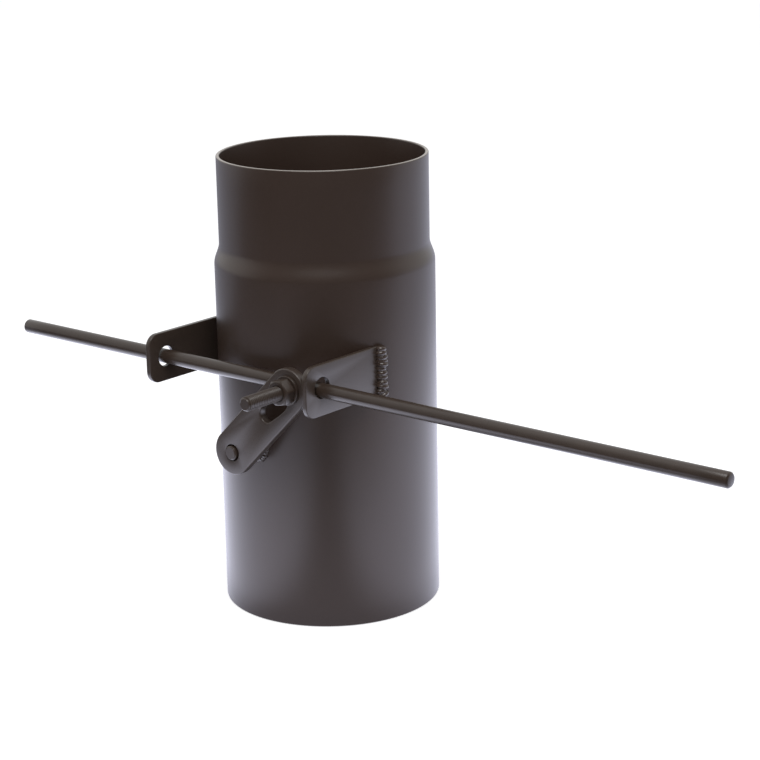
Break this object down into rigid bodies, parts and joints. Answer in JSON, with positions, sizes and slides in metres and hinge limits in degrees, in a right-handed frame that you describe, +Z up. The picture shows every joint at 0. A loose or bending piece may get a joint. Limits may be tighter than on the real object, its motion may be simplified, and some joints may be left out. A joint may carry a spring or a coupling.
{
  "type": "stove pipe",
  "caption": "Stove pipe section with a swaged spigot and a butterfly damper, turned by a slotted crank lever and a long sliding rod held in two welded guide plates.",
  "frame": {"origin": "centre of the pipe's foot, on its axis", "axes": "+Z up along the pipe towards the spigot, +X along the pull rod towards its longer end, -Y towards the lever side"},
  "size_m": [0.48, 0.1837, 0.257],
  "materials": {
    "pipe_paint": "satin high-temperature paint",
    "plate_paint": "satin high-temperature paint on cut plate",
    "weld_paint": "paint over a weld bead",
    "fastener_paint": "satin paint over threaded steel",
    "bare_steel": "dull mild steel"
  },
  "bodies": {
    "flue": {"pipe": "pipe_paint", "guide_left": "plate_paint", "guide_right": "plate_paint", "weld_guide_left": "weld_paint", "weld_guide_right": "weld_paint", "front_bush": "pipe_paint", "weld_front_bush": "weld_paint", "rear_bush": "pipe_paint", "weld_rear_bush": "weld_paint"},
    "rod": {"pull_rod": "fastener_paint", "stud": "fastener_paint", "weld_stud": "weld_paint", "stud_washer": "fastener_paint", "stud_nut": "fastener_paint"},
    "damper": {"lever": "plate_paint", "weld_lever": "weld_paint", "spindle": "fastener_paint", "blade": "bare_steel", "rivet_front": "bare_steel", "rivet_rear": "bare_steel"}
  },
  "joints": [
    {"name": "rod_slide", "type": "slide", "parent": "flue", "child": "rod", "axis": [-1, 0, 0], "range_m": [0, 0.086]},
    {"name": "damper_turn", "type": "hinge", "parent": "flue", "child": "damper", "pos_m": [0, 0, 0.103], "axis": [0, -1, 0], "range_deg": [0, 90]}
  ],
  "couplings": [
    {"joint": "damper_turn", "follows": "rod_slide", "rad_per_m": 18.265}
  ]
}
